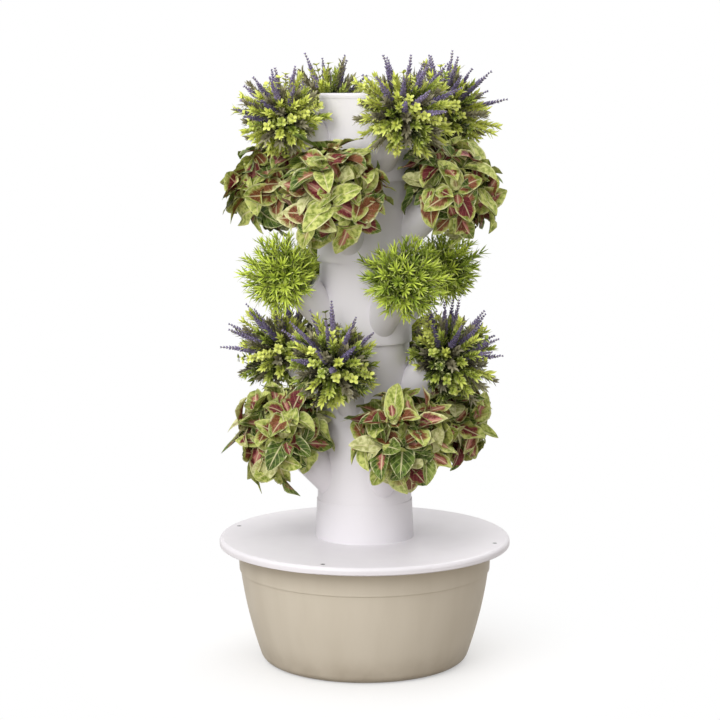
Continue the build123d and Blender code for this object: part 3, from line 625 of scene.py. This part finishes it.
class Growth:
    """Collects leaves, stalks and buds of one plant into one mesh."""

    def __init__(self):
        self.points, self.maps, self.faces, self.kinds = [], [], [], []
        self.count = 0

    def grid(self, points, along, across, chance, kind):
        """Adds a sheet of points[row][column] with its leaf map and its material's place."""
        rows, columns = points.shape[:2]
        chances = np.full((rows, columns), chance)
        self.points.append(points.reshape(-1, 3))
        self.maps.append(np.stack((along, across, chances), 2).reshape(-1, 3))
        for r in range(rows - 1):
            for c in range(columns - 1):
                i = self.count + r * columns + c
                self.faces.append((i, i + 1, i + columns + 1, i + columns))
                self.kinds.append(kind)
        self.count += rows * columns

    def leaf(self, foot, way, face, size, bend, fold, chance, kind, blade, wave=0.0):
        """One leaf from foot along way, its upper side towards face, bending down by bend radians.

        size is its length and width, fold the lift of its halves in radians, and wave its edges' waves.
        """
        length, width = size
        way = unit(way)
        face = unit(face - way * np.dot(face, way))
        side = np.cross(way, face)
        t = np.linspace(0, 1, blade.rows + 1)
        v = np.linspace(-1, 1, blade.columns + 1)
        bend = bend if abs(bend) > LEAST_BEND else LEAST_BEND
        run, drop = np.sin(bend * t) / bend, (1 - np.cos(bend * t)) / bend
        middle = foot + length * (run[:, None] * way - drop[:, None] * face)
        normal = np.cos(bend * t)[:, None] * face + np.sin(bend * t)[:, None] * way
        s = np.clip(t, LEAF_END, 1 - LEAF_END)
        rise = (s / blade.belly) ** (blade.point * blade.belly)
        sink = ((1 - s) / (1 - blade.belly)) ** (blade.point * (1 - blade.belly))
        half = width / 2 * rise * sink
        across = np.repeat(v[None, :], len(t), 0)
        along = np.repeat(t[:, None], len(v), 1)
        waves = wave * np.sin(along * WAVE_PACE + chance * WAVE_CHANCE) * across**2
        lift = np.abs(across) * math.sin(fold) + waves
        points = (
            middle[:, None, :]
            + side * (half[:, None] * across * math.cos(fold))[:, :, None]
            + normal[:, None, :] * (half[:, None] * lift)[:, :, None]
        )
        self.grid(points, along, across, chance, kind)

    def stem(self, path, radii, chance, sides=4):
        """A stalk along a path of points, tapered from the first radius to the second."""
        t = np.linspace(0, 1, len(path))
        turn = np.linspace(0, FULL_TURN, sides + 1)
        rings = []
        for point, way, share in zip(path, np.gradient(path, axis=0), t):
            way = unit(way)
            first = unit(np.cross(way, STEM_START))
            second = np.cross(way, first)
            ring = np.cos(turn)[:, None] * first + np.sin(turn)[:, None] * second
            rings.append(point + between(radii, share) * ring)
        along = np.repeat(t[:, None], len(turn), 1)
        across = np.repeat(np.linspace(-1, 1, len(turn))[None, :], len(t), 0)
        self.grid(np.array(rings), along, across, chance, STALK)

    def bud(self, foot, way, length, radius, chance):
        """A small pointed flower bud."""
        way = unit(way)
        first = unit(np.cross(way, BUD_START))
        second = np.cross(way, first)
        turn = np.linspace(0, FULL_TURN, BUD_SIDES + 1)
        ring = np.cos(turn)[:, None] * first + np.sin(turn)[:, None] * second
        points = np.array([foot + way * length * t + ring * radius * r for t, r in BUD_OUTLINE])
        along = np.repeat(np.array([t for t, _ in BUD_OUTLINE])[:, None], len(turn), 1)
        across = np.repeat(np.linspace(-1, 1, len(turn))[None, :], len(BUD_OUTLINE), 0)
        self.grid(points, along, across, chance, FLOWER)

    def make(self, name, materials, site):
        """The plant's piece, clear of its column, pocket and cup."""
        points = site.clear(np.concatenate(self.points))
        mesh = bpy.data.meshes.new(name)
        mesh.from_pydata(points.tolist(), [], self.faces)
        attribute = mesh.attributes.new("leaf", "FLOAT_VECTOR", "POINT")
        attribute.data.foreach_set("vector", np.concatenate(self.maps).ravel())
        for material in materials:
            mesh.materials.append(material)
        mesh.polygons.foreach_set("material_index", self.kinds)
        mesh.polygons.foreach_set("use_smooth", [True] * len(self.faces))
        mesh.update()
        return link(bpy.data.objects.new(name, mesh))


class Site:
    """One planted pocket: its mouth, its axis out of the pocket and its own chance."""

    def __init__(self, name, axis, cup, column_r):
        self.name = name
        self.column_r = column_r
        self.axis = np.array(axis)
        self.away = unit(self.axis * np.array((1, 1, 0)))
        self.side = np.cross(UP, self.away)
        self.fall = np.cross(self.side, self.axis)
        corners = np.array([cup.matrix_world @ v.co for v in cup.data.vertices])
        across = sum(d * (np.max(corners @ d) + np.min(corners @ d)) / 2 for d in (self.side, self.fall))
        self.mouth = across + self.axis * (np.max(corners @ self.axis) - CUP_FLANGE)
        self.foot = self.mouth - self.axis * SPONGE_TOP
        self.size, drop = SMALLER.get(name, (1.0, 0.0))
        # The plant's painted light and shade, added to the shade of every sprig
        self.tone = PAINTED_LIGHT_TONE.get(name, 0.0)
        self.hub = self.mouth + self.axis * HUB_UP + self.fall * HUB_OUT - UP * drop
        self.chance = random.Random(f"site {self.name}")

    def reach(self, limits):
        """A stalk's length from the hub, by chance between two limits."""
        return self.chance.uniform(*limits) * self.size

    def ray(self, polar, turn):
        """Direction that leaves the pocket's axis by polar; turn 0 is its falling side."""
        across = self.fall * math.cos(turn) + self.side * math.sin(turn)
        return self.axis * math.cos(polar) + across * math.sin(polar)

    def clear(self, points):
        """Moves points out of the column and out of the pocket's wall and cup."""
        points = points.copy()
        radius = np.linalg.norm(points[:, :2], axis=1)
        near = radius < self.column_r
        points[near, :2] *= (self.column_r / radius[near])[:, None]
        away = points - self.mouth
        up = away @ self.axis
        across = away - up[:, None] * self.axis
        width = np.linalg.norm(across, axis=1)
        outside = POCKET_R + POCKET_WALL
        inside = (up < 0.0) & (up > -POCKET_LENGTH) & (width < outside) & (width > POCKET_R - CUP_WALL)
        points[inside] += across[inside] * ((outside - width[inside]) / width[inside])[:, None]
        return points

    def put(self, piece, *nodes):
        """Lets a piece move with the pocket's cup, in the place of any nodes named."""
        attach(piece, f"site_{self.name}")
        if nodes:
            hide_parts(*nodes)
        return piece


def curve(site, tip, count=STALK_POINTS):
    """Points of a stalk from the sponge, by way of the plant's hub, to its tip."""
    t = np.linspace(0, 1, count)[:, None]
    return (1 - t) ** 2 * site.foot + 2 * t * (1 - t) * site.hub + t**2 * tip


def spot(path, share):
    """Point and direction at a share of a path, and a direction square to it."""
    at = share * (len(path) - 1)
    low = min(int(at), len(path) - 2)
    step = path[low + 1] - path[low]
    grow = unit(step)
    return path[low] + step * (at - low), grow, unit(np.cross(grow, WHORL_START))


def whorl(r, first, grow, count, start, play):
    """Directions of a ring of leaves about a stalk, each turned a little by chance."""
    for k in range(count):
        yield turned_about(first, grow, start + k * FULL_TURN / count + r.uniform(-play, play))


def spread(site, count, limits):
    """Evenly spread directions out of the hub, each with its lean from the pocket's axis."""
    wide, narrow = limits
    middle, swing = (wide + narrow) / 2, (wide - narrow) / 2
    for i in range(count):
        turn = GOLDEN * i
        widest = math.radians(middle + swing * math.cos(turn))
        polar = math.acos(1 - (1 - math.cos(widest)) * (i + 0.5) / count)
        yield polar, site.ray(polar, turn)


def lobes_of(site):
    """Directions in which a bushy plant has grown further."""
    r = site.chance
    return [site.ray(r.uniform(*LOBE_LEAN), r.uniform(0, FULL_TURN)) for _ in range(LOBES)]


def lobed(way, lobes):
    """Share of its reach that a sprig has, most in the direction of a lobe."""
    nearest = max(np.dot(way, lobe) for lobe in lobes)
    return between((LOBE_LOW, LOBE_HIGH), max(nearest, 0.0) ** LOBE_SHARP)


def toned(value):
    """A leaf's chance value, kept between 0 and 1."""
    return min(max(value, 0.0), 1.0)


def grow_sprig(g, r, path, habit, shade, kind):
    """Rings of small leaves along the outer part of a sprig, lighter towards its tip, with painted shade on the
    leaves nearer its foot, inside the plant.
    """
    for w in range(habit.rings):
        share = between((habit.start, 1.0), w / (habit.rings - 1))
        point, grow, first = spot(path, share)
        for out in whorl(r, first, grow, habit.ring, w * habit.twist, habit.play):
            apart, forward = habit.lean(r, share)
            size = (r.uniform(*habit.length), r.uniform(*habit.width))
            bend = r.uniform(*habit.bend)
            # Painted shade: darker near the sprig's foot, inside the plant
            tone = habit.inner_shade_gain * share + habit.inner_shade_foot + shade
            tone = toned(tone + r.uniform(-habit.tone_play, habit.tone_play))
            g.leaf(
                point, out * apart + grow * forward, grow + UP * habit.face_up,
                size, bend, habit.fold, tone, kind, habit.blade,
            )


def grow_spike(g, r, path):
    """Flower spike: rings of buds that grow smaller to its tip."""
    spike_tone = r.uniform(*SPIKE_TONE)
    for w in range(SPIKE_RINGS):
        done = w / (SPIKE_RINGS - 1)
        point, grow, first = spot(path, between((SPIKE_START, 1.0), done))
        buds = SPIKE_RING if done < SPIKE_THIN else SPIKE_RING - 1
        for out in islice(whorl(r, first, grow, SPIKE_RING, w * SPIKE_TWIST, SPIKE_PLAY), buds):
            way = out * r.uniform(*BUD_LEAN) + grow
            tone = toned(spike_tone + r.uniform(-BUD_TONE, BUD_TONE))
            g.bud(point, way, between(BUD_LENGTH, done), between(BUD_R, done), tone)


def plant_coleus(site, materials):
    """Stalks that each end in whorls of broad drooping leaves."""
    g = Growth()
    r = site.chance
    top = site.hub + UP * COLEUS_RISE
    tips = [top + way * site.reach(COLEUS_REACH) for _, way in spread(site, COLEUS_STALKS, COLEUS_SPREAD)]
    for out, aside, lift in TRAILING.get(site.name, ()):
        tips.append(site.hub + site.away * out + site.side * aside + UP * lift)
    for tip in tips:
        path = curve(site, tip)
        g.stem(path, COLEUS_STEM, r.random(), sides=5)
        for share, count, scale in COLEUS_WHORLS:
            point, grow, first = spot(path, share)
            start = r.uniform(0, FULL_TURN)
            for out in whorl(r, first, grow, count, start, COLEUS_PLAY):
                way = unit(out + grow * r.uniform(*COLEUS_FORWARD) + UP * COLEUS_LIFT)
                face = unit(grow + UP * COLEUS_FACE_UP + out * r.uniform(*COLEUS_TILT))
                length = r.uniform(*COLEUS_LEAF) * scale
                size = (length, length * r.uniform(*COLEUS_LEAF_WIDTH))
                bend = r.uniform(*COLEUS_BEND)
                fold = r.uniform(*COLEUS_FOLD)
                tone = r.random()
                wave = r.uniform(*COLEUS_WAVE)
                foot = point + way * COLEUS_LEAF_STEM
                g.leaf(foot, way, face, size, bend, fold, tone, LEAF, COLEUS_BLADE, wave)
    return g.make(f"coleus_foliage_{site.name}", materials, site)


def plant_needle_herb(site, materials):
    """Bush of sprigs, each a star-like brush of narrow leaves."""
    g = Growth()
    r = site.chance
    lobes = lobes_of(site)
    for _, way in spread(site, HERB_SPRIGS, HERB_SPREAD):
        path = curve(site, site.hub + way * site.reach(HERB_REACH) * lobed(way, lobes))
        g.stem(path, HERB_STEM, r.random())
        # Chance shade of the sprig, plus the plant's painted light and shade
        shade = r.uniform(*HERB_SHADES) + site.tone
        grow_sprig(g, r, path, NEEDLES, shade, LEAF)
    return g.make(f"herb_foliage_{site.name}", materials, site)


def plant_lavender(site, materials):
    """Lime plumes and round-leaved sprigs among grey ones, with purple flower spikes."""
    g = Growth()
    r = site.chance
    lobes = lobes_of(site)
    for i, (polar, way) in enumerate(spread(site, LAVENDER_SPRIGS, LAVENDER_SPREAD)):
        path = curve(site, site.hub + way * site.reach(LAVENDER_REACH) * lobed(way, lobes))
        g.stem(path, LAVENDER_STEM, r.random())
        # Chance shade of the sprig, plus the plant's painted light and shade
        shade = r.choice(LAVENDER_SHADES) + site.tone
        # Painted shade on sprigs that hang under the plant, in its own shade
        if polar > FAR_OVER:
            shade -= UNDER_PAINTED_SHADE
        if i % ROUND_EVERY == 1:
            grow_sprig(g, r, path, ROUND_LEAVES, shade, LEAF)
        else:
            grow_sprig(g, r, path, PLUME, shade, GREY_LEAF if i % GREY_EVERY == 2 else LEAF)
    middle = unit(site.axis + UP * SPIKE_LIFT)
    for i in range(SPIKES):
        lean = math.radians(SPIKE_SPREAD * math.sqrt((i + 0.5) / SPIKES))
        turn = GOLDEN * i + SPIKE_TURN
        across = site.side * math.sin(turn) + np.cross(site.side, middle) * math.cos(turn)
        way = middle * math.cos(lean) + across * math.sin(lean)
        path = curve(site, site.hub + way * site.reach(SPIKE_REACH), SPIKE_POINTS)
        g.stem(path, SPIKE_STEM, r.random())
        grow_spike(g, r, path)
    return g.make(f"lavender_foliage_{site.name}", materials, site)


def make_sponge(site, material):
    """Grow sponge in its cup: a tapered plug with a soft, uneven skin."""
    height = SPONGE_FLOOR - SPONGE_TOP
    profile = [(SPONGE_END_R - SPONGE_ROUND, 0.0), (SPONGE_END_R, 0.5 * SPONGE_ROUND)]
    for i in range(1, SPONGE_RINGS):
        share = i / SPONGE_RINGS
        profile.append((between((SPONGE_END_R, SPONGE_TOP_R), share), height * share))
    profile.append((SPONGE_TOP_R - SPONGE_ROUND, height))
    foot = site.mouth - site.axis * SPONGE_FLOOR
    points = [tuple(foot)]
    for radius, level in profile:
        for k in range(SPONGE_SIDES):
            turn = FULL_TURN * k / SPONGE_SIDES
            across = site.fall * math.cos(turn) + site.side * math.sin(turn)
            uneven = radius * (1 - SPONGE_UNEVEN * site.chance.random())
            points.append(tuple(foot + site.axis * level + across * uneven))
    points.append(tuple(foot + site.axis * (height + SPONGE_CROWN)))
    faces = []
    crown = len(points) - 1
    last = crown - SPONGE_SIDES
    for k in range(SPONGE_SIDES):
        j = (k + 1) % SPONGE_SIDES
        faces.append((0, 1 + j, 1 + k))
        faces.append((last + k, last + j, crown))
        for i in range(1, last, SPONGE_SIDES):
            faces.append((i + k, i + j, i + SPONGE_SIDES + j, i + SPONGE_SIDES + k))
    name = f"grow_sponge_{site.name}"
    mesh = bpy.data.meshes.new(name)
    mesh.from_pydata(points, [], faces)
    mesh.polygons.foreach_set("use_smooth", [True] * len(faces))
    mesh.materials.append(material)
    return site.put(link(bpy.data.objects.new(name, mesh)))


make_camera()
make_world()
make_floor()
make_lamp("key", azimuth=-32, elevation=34, distance=3.4, size=2.0, power=48)
make_lamp("fill", azimuth=-16, elevation=12, distance=3.4, size=1.8, power=30)
make_lamp("back", azimuth=150, elevation=45, distance=3.6, size=2.4, power=30)
bpy.context.scene.view_settings.view_transform = "Standard"

# Finish of every CAD node
finishes = {
    "white_plastic": moulded("white_plastic", (0.81, 0.785, 0.82), (0.765, 0.74, 0.775), rough=0.42),
    "beige_plastic": tank_plastic(),
    "cup_plastic": moulded("cup_plastic", (0.70, 0.70, 0.68), (0.62, 0.62, 0.60), rough=0.5),
    "pipe_plastic": moulded("pipe_plastic", (0.72, 0.72, 0.71), (0.64, 0.64, 0.63), rough=0.34),
    "pump_plastic": moulded("pump_plastic", (0.022, 0.022, 0.025), (0.034, 0.034, 0.037), rough=0.42),
    "seal_rubber": dull_rubber(),
    "screw_steel": brushed_steel(),
}
for entry in frame["record"]["subparts"]:
    finish = finishes.get(entry["material_slot"])
    if finish:
        mesh = frame["nodes"][entry["node"]].data
        mesh.materials.clear()
        mesh.materials.append(finish)

# Leaves of each kind
herb_leaf = small_leaf(
    "herb_leaf",
    bright=(0.6, 0.73, 0.09), middle=(0.24, 0.35, 0.025), dark=(0.02, 0.045, 0.003), tip=(0.83, 0.87, 0.38),
)
lime_leaf = small_leaf(
    "lime_leaf",
    bright=(0.72, 0.78, 0.16), middle=(0.29, 0.38, 0.04), dark=(0.02, 0.04, 0.006), tip=(0.85, 0.88, 0.42),
)
grey_leaf = small_leaf(
    "grey_leaf",
    bright=(0.31, 0.29, 0.18), middle=(0.18, 0.17, 0.11), dark=(0.05, 0.045, 0.03), tip=(0.42, 0.39, 0.29),
)
green_stalk = stalk()

# A plant and its sponge in every pocket
kinds = {
    "coleus": (plant_coleus, [coleus_leaf(), green_stalk], "coleus_leaf"),
    "needle_herb": (plant_needle_herb, [herb_leaf, green_stalk], "herb_leaf"),
    "lavender": (plant_lavender, [lime_leaf, green_stalk, grey_leaf, flower()], "lavender_leaf"),
}
sponge_foam = foam()
axes = {j["name"]: j["axis"] for j in frame["joints"]}
column_r = max(frame["nodes"]["tower_base"].dimensions[:2]) / 2
for node in sorted(frame["nodes"]):
    kind, _, place = node.rpartition("_")
    if kind in kinds:
        plant_it, look, slot = kinds[kind]
        site = Site(place, axes[f"cup_{place}_pull"], frame["nodes"][f"net_cup_{place}"], column_r)
        plant = site.put(plant_it(site, look), node)
        make_sponge(site, sponge_foam)
